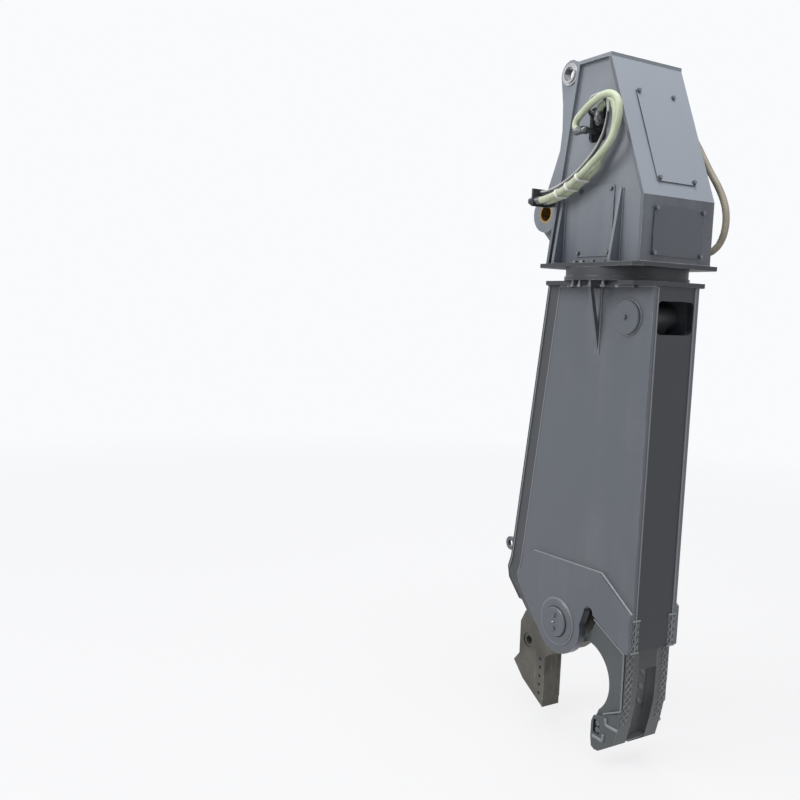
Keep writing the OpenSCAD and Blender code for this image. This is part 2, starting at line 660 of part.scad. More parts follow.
module body_side() difference() {
    slab(-body_half, -body_in) chin(concat(turned_back(side_rear), [[body_front, front_top]]));
    pin_bore(-cheek_y, 0);
    drum(cyl_pin, cyl_pin_d / 2 + fit, -cheek_y, 0);
}
module body_side_near() color(paint) placed() body_side();
module body_side_far() color(paint) placed() far_side() body_side();
module cheek() difference() {
    slab(-cheek_y, -body_half) chin([for (s = cheek_shares) pivot + span * s]);
    pin_bore(-cheek_y - over, 0);
}
module cheek_near() color(paint) placed() cheek();
module cheek_far() color(paint) placed() far_side() cheek();

window_top = 112;
window_r = 30;
front_foot = pivot_depth - span * chin_shares[0][1];
module body_front_plate() color(paint_dark) placed() difference() {
    translate([body_front - front_t, -body_in, -front_foot])
        cube([front_t, 2 * body_in, front_foot - top_t]);
    cross_slab(body_front - front_t - over, body_front + over)
        translate([-window_half, -window_top - window_h]) rounded([2 * window_half, window_h], window_r);
}

// Rear cover: a folded back plate, and slanted corner plates between it and the side plates
lower_run = 190;
corner_run = 330;
function run_on(l) = concat(side_rear, [side_rear[3]
    + l * unit(pivot + touch(side_rear[3] - pivot, tongue_r) - side_rear[3])]);
function rear_line(l) = [for (p = run_on(l)) p - [back_gap, 0]];
module body_back_plate() color(paint_dark) placed()
    slab(-back_half, back_half) band(rear_line(lower_run), -back_t);
// A corner plate keeps the same level cross-section all the way down the side plate's rear edge
module corner_plate() skin([for (p = run_on(corner_run), q = [[0, -body_half], [-back_gap, -back_half],
    [-back_gap, back_t - back_half], [0, back_t - body_half]]) [p[0] + q[0], q[1], p[1]]], 4);
module corner_plates() color(paint_dark) placed() pair() corner_plate();

fin_x = -15;
fin_t = 20;
fin_h = 430;
fin_reach = 98;
fin_hole_h = 205;
fin_hole_share = 0.74;
module top_fins() color(paint) placed() pair() cross_slab(fin_x - fin_t / 2, fin_x + fin_t / 2)
    translate([-body_half, -top_t]) difference() {
        polygon([[0, 0], [-fin_reach, 0], [-fin_reach, -fin_t], [0, -fin_h]]);
        translate([0, -fin_t]) polygon([[-fin_t / 2, 0], [-fin_reach * fin_hole_share, 0],
            [-fin_t, -fin_hole_h], [-fin_t / 2, -fin_hole_h]]);
    }

// FIXED JAW: outline points as shares of the jaw's reach from the pivot
throat_shares = [0.279, -0.373];
jaw_back_shares = [[0.778, -0.289], [0.769, -0.459], [0.739, -0.625], [0.695, -0.806], [0.533, -0.921],
    [0.488, -0.928], [0.45, -0.911], [0.437, -0.831], [0.437, -0.702], [0.49, -0.574], [0.268, -0.072],
    [0.36, 0.044]];
recess_shares = [[0.40, -0.665], [0.495, -0.636], [0.725, -0.534], [0.725, -0.02],
    [1, -0.02], [1, -1], [0.40, -1]];
jaw_back_share = 0.778;
module jaw_plate_outline() difference() {
    polygon(concat([pivot + [span * (slot_share + slot_r_share), jaw_reach / 2],
        [body_front - front_t, pivot[1] + jaw_reach / 2], [body_front - front_t, -front_foot],
        pivot + [jaw_reach * jaw_back_share, span * chin_shares[0][1]]],
        [for (s = jaw_back_shares) pivot + jaw_reach * s],
        [pivot + span * [slot_share + slot_r_share, slot_rise_share]]));
    translate(pivot + jaw_reach * throat_shares) circle(throat_r);
}
blade_w = 66;
blade_t = 24;
blade_proud = 2;
// The fixed blades' angles round the throat and their lengths
blade_angles = [-4, 62];
blade_lens = [300, 170];
blade_places = [for (i = [0, 1]) [blade_angles[i], blade_lens[i]]];
blade_back = 6;
module at_blade(b) translate(pivot + jaw_reach * throat_shares) rotate(b[0])
    translate([throat_r + blade_back, -b[1] / 2]) children();
screw_d = 26;
screw_head_d = 40;
screw_head_h = 14;
function screw_steps(l) = [l / 6, l / 2, 5 * l / 6];
module jaw_plate() difference() {
    union() {
        slab(-body_in, -jaw_slot / 2) jaw_plate_outline();
        slab(-nose_face, -body_in) intersection() {
            jaw_plate_outline();
            polygon([for (s = recess_shares) pivot + jaw_reach * s]);
        }
    }
    slab(-jaw_slot / 2 - blade_t + blade_proud, -jaw_slot / 2 + over) for (b = blade_places)
        at_blade(b) square([blade_w, b[1]]);
    for (b = blade_places, s = screw_steps(b[1])) slab(-jaw_slot / 2 - 2 * blade_t, -jaw_slot / 2)
        at_blade(b) translate([blade_w / 2, s]) circle(d = screw_d);
    slab(-nose_face - over, pocket_deep - nose_face)
        translate(pivot + jaw_reach * pocket_shares) rounded([pocket_w, pocket_h], pocket_r);
    for (s = nose_bolt_steps) drum(pivot + jaw_reach * pocket_shares + [pocket_w / 2, s * pocket_h],
        screw_d / 2, -nose_face - over, 0);
}
pocket_shares = [0.462, -0.79];
pocket_w = 56;
pocket_h = 92;
pocket_r = 10;
pocket_deep = 24;
nose_bolt_steps = [0.27, 0.73];
module jaw_plate_near() color(paint) placed() jaw_plate();
module jaw_plate_far() color(paint) placed() far_side() jaw_plate();
module fixed_blades() color(steel) placed() pair() difference() {
    slab(-jaw_slot / 2 - blade_t + blade_proud, -jaw_slot / 2 + blade_proud) for (b = blade_places)
        at_blade(b) square([blade_w, b[1]]);
    for (b = blade_places, s = screw_steps(b[1])) {
        slab(-jaw_slot, 0) at_blade(b) translate([blade_w / 2, s]) circle(d = screw_d);
        slab(-jaw_slot / 2 + blade_proud - screw_head_h, 0)
            at_blade(b) translate([blade_w / 2, s]) circle(d = screw_head_d);
    }
}
module blade_screw_rows() for (b = blade_places, s = screw_steps(b[1])) {
    slab(-jaw_slot / 2 - 2 * blade_t, -jaw_slot / 2 + blade_proud - screw_head_h)
        at_blade(b) translate([blade_w / 2, s]) circle(d = screw_d - 2 * shank_fit);
    slab(-jaw_slot / 2 + blade_proud - screw_head_h, -jaw_slot / 2)
        at_blade(b) translate([blade_w / 2, s]) circle(d = screw_head_d - 2 * shank_fit);
}
module nose_bolt_pair() for (s = nose_bolt_steps) {
    p = pivot + jaw_reach * pocket_shares + [pocket_w / 2, s * pocket_h];
    floor_y = pocket_deep - nose_face;
    drum(p, screw_d / 2 - shank_fit, floor_y, -jaw_slot / 2);
    translate([p[0], floor_y, p[1]]) rotate([90, 0, 0])
        cylinder(d = screw_head_d, h = screw_head_h, $fn = 6);
}
module jaw_screws() color(steel) placed() pair() {
    blade_screw_rows();
    nose_bolt_pair();
}
block_foot = 130;
block_t = 60;
module throat_block() color(paint_dark) placed()
    translate([pivot[0] + jaw_reach * jaw_back_share - block_t, -jaw_slot / 2, -front_foot - block_foot])
    cube([block_t, jaw_slot, block_foot]);
nose_clear = 13;
nose_t = 27;
nose_a0 = 29;
nose_a1 = 42;
nose_sides = 128;
module nose_plate() color(paint_dark) placed() slab(-jaw_slot / 2, jaw_slot / 2) translate(pivot)
    intersection() {
        difference() {
            circle(jaw_reach + nose_clear + nose_t, $fn = nose_sides);
            circle(jaw_reach + nose_clear, $fn = nose_sides);
        }
        polygon([[0, 0], for (a = [nose_a0, nose_a1]) 2 * jaw_reach * [sin(a), -cos(a)]]);
    }

// PINS of the body
cyl_pin_d = 100;
cyl_boss_d = 160;
eye_half = 74;
module cylinder_bosses() color(paint_dark) placed() pair() difference() {
    drum(cyl_pin, cyl_boss_d / 2, -body_in, -eye_half - over);
    drum(cyl_pin, cyl_pin_d / 2 + fit, -body_half, 0);
}
module cylinder_pin() color(steel) placed() drum(cyl_pin, cyl_pin_d / 2, -body_half, body_half);
cap_d = 210;
cap_t = 26;
cap_bevel = 6;
cap_bolt_d = 30;
module cap(p, d, t, y) translate([p[0], -y, p[1]]) rotate([90, 0, 0]) {
    rotate_extrude() polygon([[0, 0], [d / 2, 0], [d / 2, t - cap_bevel], [d / 2 - cap_bevel, t], [0, t]]);
}
module cylinder_pin_caps() color(paint_pale) placed() pair() {
    cap(cyl_pin, cap_d, cap_t, body_half);
    translate([cyl_pin[0], -body_half - cap_t, cyl_pin[1]]) rotate([90, 0, 0])
        cylinder(d = cap_bolt_d, h = washer_t + bolt_head_h, $fn = 6);
}
collar_d = 300;
collar_h = 12;
collar_in = 206;
module pivot_collars() color(paint_pale) placed() pair() difference() {
    cap(pivot, collar_d, collar_h, cheek_y);
    drum(pivot, collar_in / 2, -cheek_y - collar_h - over, 0);
}
module pivot_pin() color(steel) placed() drum(pivot, pivot_d / 2, -cheek_y, cheek_y);
pivot_cap_d = 194;
pivot_cap_t = 27;
pivot_cap_bolts = 45;
module pivot_caps() color(paint_pale) placed() pair() {
    cap(pivot, pivot_cap_d, pivot_cap_t, cheek_y);
    for (s = [-1, 1]) translate([pivot[0], -cheek_y - pivot_cap_t, pivot[1] + s * pivot_cap_bolts])
        rotate([90, 0, 0]) cylinder(d = bolt_head_d, h = bolt_head_h, $fn = 6);
}

eye_d = 96;
eye_hole = 50;
eye_t = 25;
eye_rise = 356;
eye_z = pivot_depth - eye_rise;
eye_y = 112;
module lifting_eyes() color(steel) placed() {
    back = level(rear_line(lower_run), -back_t);
    high = at_z(back[0], back[1], eye_d / 2 - eye_z);
    low = at_z(back[0], back[1], -eye_d / 2 - eye_z);
    x = low[0];
    for (s = [-1, 1]) translate([0, s * eye_y, 0]) slab(-eye_t / 2, eye_t / 2) difference() {
        union() {
            translate([x - eye_d / 2, -eye_z]) circle(d = eye_d);
            polygon([high, [x - eye_d / 2, high[1]], [x - eye_d / 2, low[1]], low]);
        }
        translate([x - eye_d / 2, -eye_z]) circle(d = eye_hole);
    }
}

// MOVING JAW, as shares of its reach from the pivot
jaw_face_share = 0.329;
jaw_front_shares = [[0.141, -0.166], [0.046, -0.236], [-0.025, -0.298], [-0.142, -0.355], [-0.289, -0.441],
    [-jaw_face_share, -0.48]];
jaw_end_angles = [19.2, 38.5, 49.5];
jaw_rear_shares = [[-0.686, -0.559], [-0.689, -0.253], [-0.626, -0.134], [-0.077, 0.114]];
hub_r = 150;
hub_step = 8;
hub_in_r = 110;
ear_end_r = 92;
rod_slot = 120;
lever_t = 50;
hole_r = 30;
hole_ring_r = 52;
hole_ring_deep = 8;
hole_shares = [-0.568, -0.396];
module jaw_outline() polygon(concat(
    [for (s = jaw_front_shares) pivot + jaw_reach * s],
    [for (a = jaw_end_angles) pivot - jaw_reach * [sin(a), cos(a)]],
    [for (s = jaw_rear_shares) pivot + jaw_reach * s],
    [pivot + [hub_in_r, 0]]));
module lever_outline() {
    translate(pivot) circle(hub_r);
    translate(lever_pin) circle(ear_end_r);
    d = unit(lever_pin - pivot);
    n = [-d[1], d[0]];
    polygon([pivot + n * hub_r, lever_pin + n * ear_end_r, lever_pin - n * ear_end_r, pivot - n * hub_r]);
}
jaw_blade_w = 95;
jaw_blade_t = 20;
jaw_blade_len = 310;
jaw_blade_end = 100;
jaw_blade_inset = 3;
jaw_blade_screws = 5;
module jaw_blade_place()
    translate(pivot - jaw_reach * [jaw_face_share, 1] + [jaw_blade_inset - jaw_blade_w, jaw_blade_end])
    children();
module jaw_blade_rows() for (i = [0 : jaw_blade_screws - 1])
    translate([jaw_blade_w / 2, (i + 0.5) * jaw_blade_len / jaw_blade_screws]) children();
module moving_jaw() color(worn) placed() difference() {
    union() {
        slab(-jaw_t / 2, jaw_t / 2) jaw_outline();
        drum(pivot, hub_in_r, -jaw_t / 2, jaw_t / 2);
        pair() {
            slab(-rod_slot / 2 - lever_t, -rod_slot / 2) lever_outline();
            drum(pivot, hub_r - hub_step, slide_gap - body_in, -rod_slot / 2 - lever_t / 2);
        }
    }
    drum(pivot, pivot_d / 2 + jaw_bush_wall, -body_half, body_half);
    drum(lever_pin, rod_pin_d / 2 + fit, -body_half, body_half);
    drum(pivot + jaw_reach * hole_shares, hole_r, -jaw_t, jaw_t);
    pair() {
        drum(pivot + jaw_reach * hole_shares, hole_ring_r, -jaw_t, hole_ring_deep - jaw_t / 2);
        slab(-jaw_t, jaw_blade_t - jaw_t / 2) jaw_blade_place()
            square([jaw_blade_w + jaw_blade_w, jaw_blade_len]);
    }
    jaw_blade_holes();
}
module jaw_blade_holes() slab(-jaw_t, jaw_t) jaw_blade_place() jaw_blade_rows() circle(d = screw_d);
jaw_bush_wall = 8;
module jaw_bushes() color(bronze) placed() pair() difference() {
    drum(pivot, pivot_d / 2 + jaw_bush_wall, -body_in + slide_gap, -slide_gap);
    drum(pivot, pivot_d / 2 + fit, -body_half, body_half);
}
module jaw_blades() color(worn) placed() pair() difference() {
    slab(-jaw_t / 2 - blade_proud / 2, jaw_blade_t - jaw_t / 2) jaw_blade_place()
        square([jaw_blade_w, jaw_blade_len]);
    jaw_blade_holes();
}

// CYLINDER: drawn along +Z from its rear pin, then laid towards the lever pin
rod_pin_d = 90;
cyl_len = norm(lever_pin - cyl_pin);
cyl_a = atan2(lever_pin[0] - cyl_pin[0], lever_pin[1] - cyl_pin[1]);
module along_cylinder() translate([cyl_pin[0], 0, cyl_pin[1]]) rotate([0, cyl_a, 0]) children();
tail_h = 130;
rod_eye_r = 95;
barrel_len = cyl_len - rod_eye_r - rod_show - tail_h;
tail_plate = 30;
gland_len = 110;
gland_d = 236;
eye_out_d = 160;
port_boss_d = 60;
port_boss_h = 30;
piston_len = 90;
piston_place = tail_h + tail_plate + piston_len;
module barrel() color(paint_dark) placed() along_cylinder() difference() {
    union() {
        translate([0, 0, tail_h]) cylinder(d = barrel_d, h = barrel_len);
        translate([0, 0, tail_h + barrel_len - gland_len]) cylinder(d = gland_d, h = gland_len);
        drum([0, 0], eye_out_d / 2, -eye_half, eye_half);
        translate([-eye_out_d / 2, -eye_half, 0]) cube([eye_out_d, 2 * eye_half, tail_h + tail_plate]);
        for (z = [tail_h + 2 * port_boss_d, tail_h + barrel_len - gland_len - port_boss_d])
            translate([0, 0, z]) rotate([0, -90, 0])
                cylinder(d = port_boss_d, h = barrel_d / 2 + port_boss_h);
    }
    translate([0, 0, tail_h + tail_plate]) cylinder(d = bore_d, h = barrel_len - tail_plate - gland_len);
    translate([0, 0, tail_h]) cylinder(d = rod_d + 2 * slide_gap, h = 2 * barrel_len);
    drum([0, 0], cyl_pin_d / 2 + fit, -body_half, body_half);
}
module rod() color(steel) placed() along_cylinder() difference() {
    union() {
        translate([0, 0, piston_place]) {
            cylinder(d = rod_d, h = cyl_len - piston_place);
            cylinder(d = bore_d - 2 * slide_gap, h = piston_len);
        }
        translate([0, 0, cyl_len])
            drum([0, 0], rod_eye_r, slide_gap - rod_slot / 2, rod_slot / 2 - slide_gap);
    }
    translate([0, 0, cyl_len]) drum([0, 0], rod_pin_d / 2 + fit, -rod_slot, rod_slot);
}
// The rod pin: its middle stays in the rod's eye and its ends, with their caps, in the lever
rod_cap_d = 130;
rod_cap_t = 14;
module rod_pin_middle() color(steel) placed()
    drum(lever_pin, rod_pin_d / 2, slide_gap - rod_slot / 2, rod_slot / 2 - slide_gap);
module rod_pin_ends() color(steel) placed() pair() {
    drum(lever_pin, rod_pin_d / 2, -rod_slot / 2 - lever_t, -rod_slot / 2);
    cap(lever_pin, rod_cap_d, rod_cap_t, rod_slot / 2 + lever_t);
}
module jaw_blade_bolts() color(steel) placed()
    slab(-jaw_t / 2 - blade_proud / 2, jaw_t / 2 + blade_proud / 2)
    jaw_blade_place() jaw_blade_rows() circle(d = screw_d - 2 * shank_fit);

base_plate();
head_side_near();
head_side_far();
head_front_plate();
head_top_plate();
head_back_plate();
ears();
boom_pin_boss();
boom_pin_bushes();
arm_pin_bushes();
side_gussets();
slope_cover();
lower_front_cover();
side_covers();
cover_bolts();
ring_outer();
ring_bolts();
slew_motor();
slew_pinion();
swivel_housing();
port_elbows();
hose_pair();
hose_thin_pair();
hose_ties();
hose_clamp();
hose_far();
ring_flange();
ring_geared();
flange_bolts();
swivel_spindle();
body_top_plate();
body_side_near();
body_side_far();
body_front_plate();
body_back_plate();
corner_plates();
top_fins();
cheek_near();
cheek_far();
jaw_plate_near();
jaw_plate_far();
throat_block();
nose_plate();
fixed_blades();
jaw_screws();
cylinder_bosses();
cylinder_pin();
cylinder_pin_caps();
pivot_collars();
pivot_pin();
pivot_caps();
lifting_eyes();
moving_jaw();
jaw_bushes();
jaw_blades();
jaw_blade_bolts();
barrel();
rod();
rod_pin_middle();
rod_pin_ends();
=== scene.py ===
import bpy, math
from mathutils import Matrix, Vector


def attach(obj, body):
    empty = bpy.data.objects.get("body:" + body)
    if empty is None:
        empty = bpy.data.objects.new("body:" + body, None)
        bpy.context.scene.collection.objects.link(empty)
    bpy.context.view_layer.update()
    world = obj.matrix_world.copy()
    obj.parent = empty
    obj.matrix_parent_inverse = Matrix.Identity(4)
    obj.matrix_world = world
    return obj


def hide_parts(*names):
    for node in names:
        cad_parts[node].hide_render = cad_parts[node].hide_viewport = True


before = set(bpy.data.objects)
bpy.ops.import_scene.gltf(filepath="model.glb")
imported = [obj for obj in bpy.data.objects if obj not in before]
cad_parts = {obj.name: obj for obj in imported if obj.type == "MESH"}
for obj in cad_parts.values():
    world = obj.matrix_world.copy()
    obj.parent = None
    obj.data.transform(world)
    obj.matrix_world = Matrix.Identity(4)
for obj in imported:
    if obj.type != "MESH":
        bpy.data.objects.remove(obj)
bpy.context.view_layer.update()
scene = bpy.context.scene
scene.view_settings.view_transform = "Standard"
print("frame loaded")

# Lengths in the dictionaries of pieces are millimetres from the slew axis and the body's top face,
# as the drawing gives them; those of finishes, lamps and room are metres
origin = {"slewX": 620, "pinHeight": 455}


def at(x, y, z):
    return Vector(((x + origin["slewX"]) / 1000, y / 1000, (z - origin["pinHeight"]) / 1000))


# Camera, solved from the photograph's edges
view = {"azimuth": 58.9, "elevation": 6.0, "roll": 2.2, "place": (4.6571, -4.0514, -0.6638), "lens": 39.52}


def addCamera():
    az, el, roll = (math.radians(view[k]) for k in ("azimuth", "elevation", "roll"))
    back = Vector((math.sin(az) * math.cos(el), -math.cos(az) * math.cos(el), math.sin(el)))
    right = Vector((math.cos(az), math.sin(az), 0))
    up = back.cross(right)
    side = right * math.cos(roll) + up * math.sin(roll)
    top = up * math.cos(roll) - right * math.sin(roll)
    camera = bpy.data.objects.new("camera", bpy.data.cameras.new("camera"))
    camera.data.lens = view["lens"]
    camera.data.sensor_width = 36
    turn = Matrix((side, top, back)).transposed().to_4x4()
    camera.matrix_world = Matrix.Translation(view["place"]) @ turn
    scene.collection.objects.link(camera)
    scene.camera = camera


# Soft studio light
lamps = {
    "key": {"place": (-1.5, -9.0, 4.5), "size": 6.0, "power": 900},
    "top": {"place": (3.0, -1.0, 7.5), "size": 5.0, "power": 800},
    "front": {"place": (9.0, 1.5, -1.0), "size": 5.0, "power": 60},
    "rim": {"place": (-6.0, 4.0, 3.0), "size": 5.0, "power": 300}}
room = {"floorZ": -3.48, "floorRadius": 400, "floorSides": 96, "floorColor": (0.62, 0.62, 0.62), "dimmer": 0.97,
        "seenFloor": (0.94, 0.94, 0.95), "evenness": 0.84, "fade": (2.5, 14), "sky": (0.95, 0.96, 0.98),
        "skyLight": 0.34, "aim": (0.6, 0, -1.4)}


def addLight():
    aim = Vector(room["aim"])
    for name, lamp in lamps.items():
        data = bpy.data.lights.new(name, "AREA")
        data.energy = lamp["power"]
        data.size = lamp["size"]
        thing = bpy.data.objects.new(name, data)
        thing.location = lamp["place"]
        thing.rotation_euler = (aim - thing.location).to_track_quat("-Z", "Y").to_euler()
        scene.collection.objects.link(thing)


# A socket in shader maths: an expression on wires adds its Math nodes
class Wire:
    def __init__(self, finish, socket):
        self.finish = finish
        self.socket = socket

    def maths(self, operation, a, b):
        return self.finish.node("ShaderNodeMath", {"operation": operation}, {0: a, 1: b})

    def __add__(self, other): return self.maths("ADD", self, other)
    def __radd__(self, other): return self.maths("ADD", other, self)
    def __sub__(self, other): return self.maths("SUBTRACT", self, other)
    def __rsub__(self, other): return self.maths("SUBTRACT", other, self)
    def __mul__(self, other): return self.maths("MULTIPLY", self, other)
    def __rmul__(self, other): return self.maths("MULTIPLY", other, self)


# One material, or the world where an owner is given, and the nodes in it
class Finish:
    def __init__(self, name, owner=None):
        self.material = owner or bpy.data.materials.new(name)
        self.material.use_nodes = True
        self.tree = self.material.node_tree
        if not owner:
            self.shader = self.tree.nodes["Principled BSDF"]
            self.place = self.node("ShaderNodeTexCoord", {}, {}, "Object")

    # Settings go in first, then the sockets' values or wires
    def node(self, kind, settings, inputs, out=0):
        made = self.tree.nodes.new(kind)
        for key, value in settings.items():
            setattr(made, key, value)
        for key, value in inputs.items():
            if isinstance(value, Wire):
                self.tree.links.new(value.socket, made.inputs[key])
            else:
                made.inputs[key].default_value = value
        return Wire(self, made.outputs[out])

    def noise(self, scale, detail=4, roughness=0.55, stretch=None, turn=(0, 0, 0)):
        place = self.place
        if stretch:
            place = self.node("ShaderNodeMapping", {}, {"Vector": place, "Scale": stretch, "Rotation": turn})
        return self.node("ShaderNodeTexNoise", {}, {"Vector": place, "Scale": scale, "Detail": detail,
                                                    "Roughness": roughness}, "Fac")

    # How far a surface faces up, from 0 at a wall to 1
    def upward(self, full):
        normal = self.node("ShaderNodeNewGeometry", {}, {}, "Normal")
        return self.ramp(self.node("ShaderNodeSeparateXYZ", {}, {"Vector": normal}, "Z"), 0.04, full)

    def seenRay(self):
        light = [self.node("ShaderNodeLightPath", {}, {}, kind) for kind in
                 ("Is Camera Ray", "Is Glossy Ray", "Is Transmission Ray")]
        return light[0] + light[1] + light[2]

    def ramp(self, wire, low, high):
        return self.node("ShaderNodeMapRange", {}, {"Value": wire, "From Min": low, "From Max": high})

    def mix(self, factor, a, b):
        a, b = ((*c, 1) if isinstance(c, tuple) else c for c in (a, b))
        return self.node("ShaderNodeMix", {"data_type": "RGBA"}, {0: factor, 6: a, 7: b}, 2)

    def surface(self, wire, output):
        self.tree.links.new(wire.socket, self.tree.nodes[output].inputs["Surface"])

    def bump(self, height, distance, strength=0.6, normal=None):
        inputs = {"Height": height, "Distance": distance, "Strength": strength}
        if normal:
            inputs["Normal"] = normal
        return self.node("ShaderNodeBump", {}, inputs, "Normal")

    def shade(self, values):
        for key, value in values.items():
            if isinstance(value, Wire):
                self.tree.links.new(value.socket, self.shader.inputs[key])
            else:
                self.shader.inputs[key].default_value = (*value, 1) if isinstance(value, tuple) else value
        return self.material


# Bright rub marks where plate edges stand proud
def edgeWear(finish, radius, grain):
    rounded = finish.node("ShaderNodeBevel", {"samples": 4}, {"Radius": radius}, "Normal")
    flat = finish.node("ShaderNodeNewGeometry", {}, {}, "Normal")
    alike = finish.node("ShaderNodeVectorMath", {"operation": "DOT_PRODUCT"}, {0: rounded, 1: flat}, "Value")
    worn = finish.ramp(1 - alike, 0.02, 0.14)
    return worn * finish.ramp(grain, 0.46, 0.62)


# Some paints are lit or shaded copies of one dark grey paint: painted light on the slope, painted shade on the
# forward faces, the lower front cover and the head's lower side
paints = {
    # The head's paint takes painted shade on its lower side, darkening from shadeFrom down to shadeTo
    "headPaint": {"color": (0.148, 0.166, 0.194), "dustAndLight": (0.24, 0.24, 0.25), "rough": 0.40, "shadeTo": -0.36,
                  "shadeFrom": 0.34, "paintedShade": (0.072, 0.082, 0.103)},
    # Painted light: the sloping front plate and its cover take a lit copy of the paint; the pale bluish colour
    # in its dust slot, settled over nine tenths of its up-facing faces, is painted light from above
    "litSlopePaint": {"color": (0.050, 0.057, 0.071), "dustAndLight": (0.240, 0.268, 0.312), "rough": 0.38,
                   "settleAndTopLight": 0.9},
    "sidePaint": {"color": (0.072, 0.082, 0.098), "dustAndLight": (0.17, 0.17, 0.17), "rough": 0.40},
    # Painted shade: a much darker copy of the same paint, standing in for the shade on the forward-facing plates
    # and on the base plate
    "shadedFrontPaint": {"color": (0.014, 0.016, 0.022), "dustAndLight": (0.045, 0.046, 0.050), "rough": 0.50,
                   "coat": 0.05},
    # Painted shade: a darker copy of the paint for the lower front cover, standing in for the shade on that
    # forward-facing face
    "shadedCoverPaint": {"color": (0.044, 0.051, 0.068), "dustAndLight": (0.10, 0.10, 0.10), "rough": 0.42},
    # Weld beads are painted paler than the plates beside them: weld colour and a painted highlight along their
    # ridges
    "weldPaint": {"color": (0.150, 0.162, 0.176), "dustAndLight": (0.26, 0.26, 0.26), "rough": 0.34},
    "clawPaint": {"color": (0.044, 0.052, 0.056), "dustAndLight": (0.13, 0.13, 0.13), "rough": 0.42},
    "hardPaint": {"color": (0.030, 0.032, 0.036), "dustAndLight": (0.09, 0.09, 0.09), "rough": 0.36},
    "ringPaint": {"color": (0.010, 0.013, 0.017), "dustAndLight": (0.030, 0.031, 0.034), "rough": 0.52,
                  "coat": 0.05},
    "innerPaint": {"color": (0.022, 0.024, 0.028), "dustAndLight": (0.06, 0.06, 0.06), "rough": 0.52}}


paintWork = {"dustShare": 0.30, "speckShare": 0.18, "settleAndTopLight": 0.15, "slope": 0.34, "edge": 0.006,
             "wearShare": 0.55, "bare": (0.30, 0.31, 0.33), "coat": 0.25, "coatRough": 0.22}


def paintFinish(name, spec):
    finish = Finish(name)
    cloud = finish.noise(1.3, 5)
    speck = finish.noise(46, 3)
    run = finish.noise(7, 4, 0.6, (1, 1, 0.12))
    dusty = finish.ramp(cloud * 0.6 + run * 0.4, 0.48, 0.72)
    color = spec["color"]
    # Painted shade: the head's paint darkens with falling height, standing in for the shade on its lower side
    if "paintedShade" in spec:
        height = finish.node("ShaderNodeSeparateXYZ", {}, {"Vector": finish.place}, "Z")
        color = finish.mix(finish.ramp(height, spec["shadeFrom"], spec["shadeTo"]), color, spec["paintedShade"])
    color = finish.mix(dusty * paintWork["dustShare"], color, spec["dustAndLight"])
    color = finish.mix(finish.ramp(speck, 0.60, 0.80) * paintWork["speckShare"], color, spec["dustAndLight"])
    # Up-facing faces take the dust colour: settled dust on most paints, painted light from above on the slope
    topDustAndLight = finish.upward(paintWork["slope"]) * spec.get("settleAndTopLight", paintWork["settleAndTopLight"])
    color = finish.mix(topDustAndLight, color, spec["dustAndLight"])
    wear = edgeWear(finish, paintWork["edge"], finish.noise(9, 5))
    color = finish.mix(wear * paintWork["wearShare"], color, paintWork["bare"])
    orangePeel = finish.noise(160, 2)
    rough = spec["rough"] + dusty * 0.16 + (speck - 0.5) * 0.10
    return finish.shade({"Base Color": color, "Roughness": rough, "Metallic": wear * 0.3,
                         "Coat Weight": spec.get("coat", paintWork["coat"]),
                         "Coat Roughness": paintWork["coatRough"],
                         "Normal": finish.bump(orangePeel, 0.0006, 0.25, finish.bump(cloud, 0.004, 0.10))})


jawLook = {"dark": (0.062, 0.060, 0.053), "pale": (0.125, 0.120, 0.102), "rust": (0.13, 0.085, 0.052),
           "scratched": (0.30, 0.29, 0.27), "edge": (0.36, 0.35, 0.33), "edgeSize": 0.008}


def jawFinish():
    finish = Finish("jawSteel")
    cloud = finish.noise(4, 6, 0.6)
    scratch = finish.noise(34, 5, 0.7, (1, 1, 0.06), (0.25, 0.35, 0))
    cross = finish.noise(28, 5, 0.7, (0.08, 1, 1), (0.5, -0.7, 0.4))
    bare = finish.ramp(scratch, 0.60, 0.70) * 0.6 + finish.ramp(cross, 0.62, 0.72) * 0.5
    color = finish.mix(finish.ramp(cloud, 0.35, 0.70), jawLook["dark"], jawLook["pale"])
    color = finish.mix(finish.ramp(finish.noise(11, 6, 0.7), 0.56, 0.75) * 0.5, color, jawLook["rust"])
    color = finish.mix(bare * 0.4, color, jawLook["scratched"])
    color = finish.mix(edgeWear(finish, jawLook["edgeSize"], cloud) * 0.5, color, jawLook["edge"])
    return finish.shade({"Base Color": color, "Metallic": 0.35 + bare * 0.3, "Roughness": 0.62 - bare * 0.2,
                         "Normal": finish.bump(scratch + cloud, 0.0025, 0.35)})


steels = {
    "steel": ("machinedSteel", (0.42, 0.42, 0.43), 0.34),
    "chrome": ("rodChrome", (0.66, 0.67, 0.70), 0.16),
    "bolt": ("boltSteel", (0.16, 0.165, 0.175), 0.42),
    "darkSteel": ("bladeSteel", (0.10, 0.102, 0.108), 0.38),
    "socket": ("socketSteel", (0.035, 0.035, 0.037), 0.5)}


def steelFinish(name, color, rough):
    finish = Finish(name)
    turned = finish.noise(70, 3, 0.6, (1, 0.05, 1))
    stain = finish.noise(12, 5)
    tint = finish.mix(finish.ramp(stain, 0.45, 0.75) * 0.5, color, tuple(c * 0.55 for c in color))
    return finish.shade({"Base Color": tint, "Metallic": 0.9, "Roughness": rough + (turned - 0.5) * 0.25,
                         "Normal": finish.bump(turned, 0.0006, 0.3)})


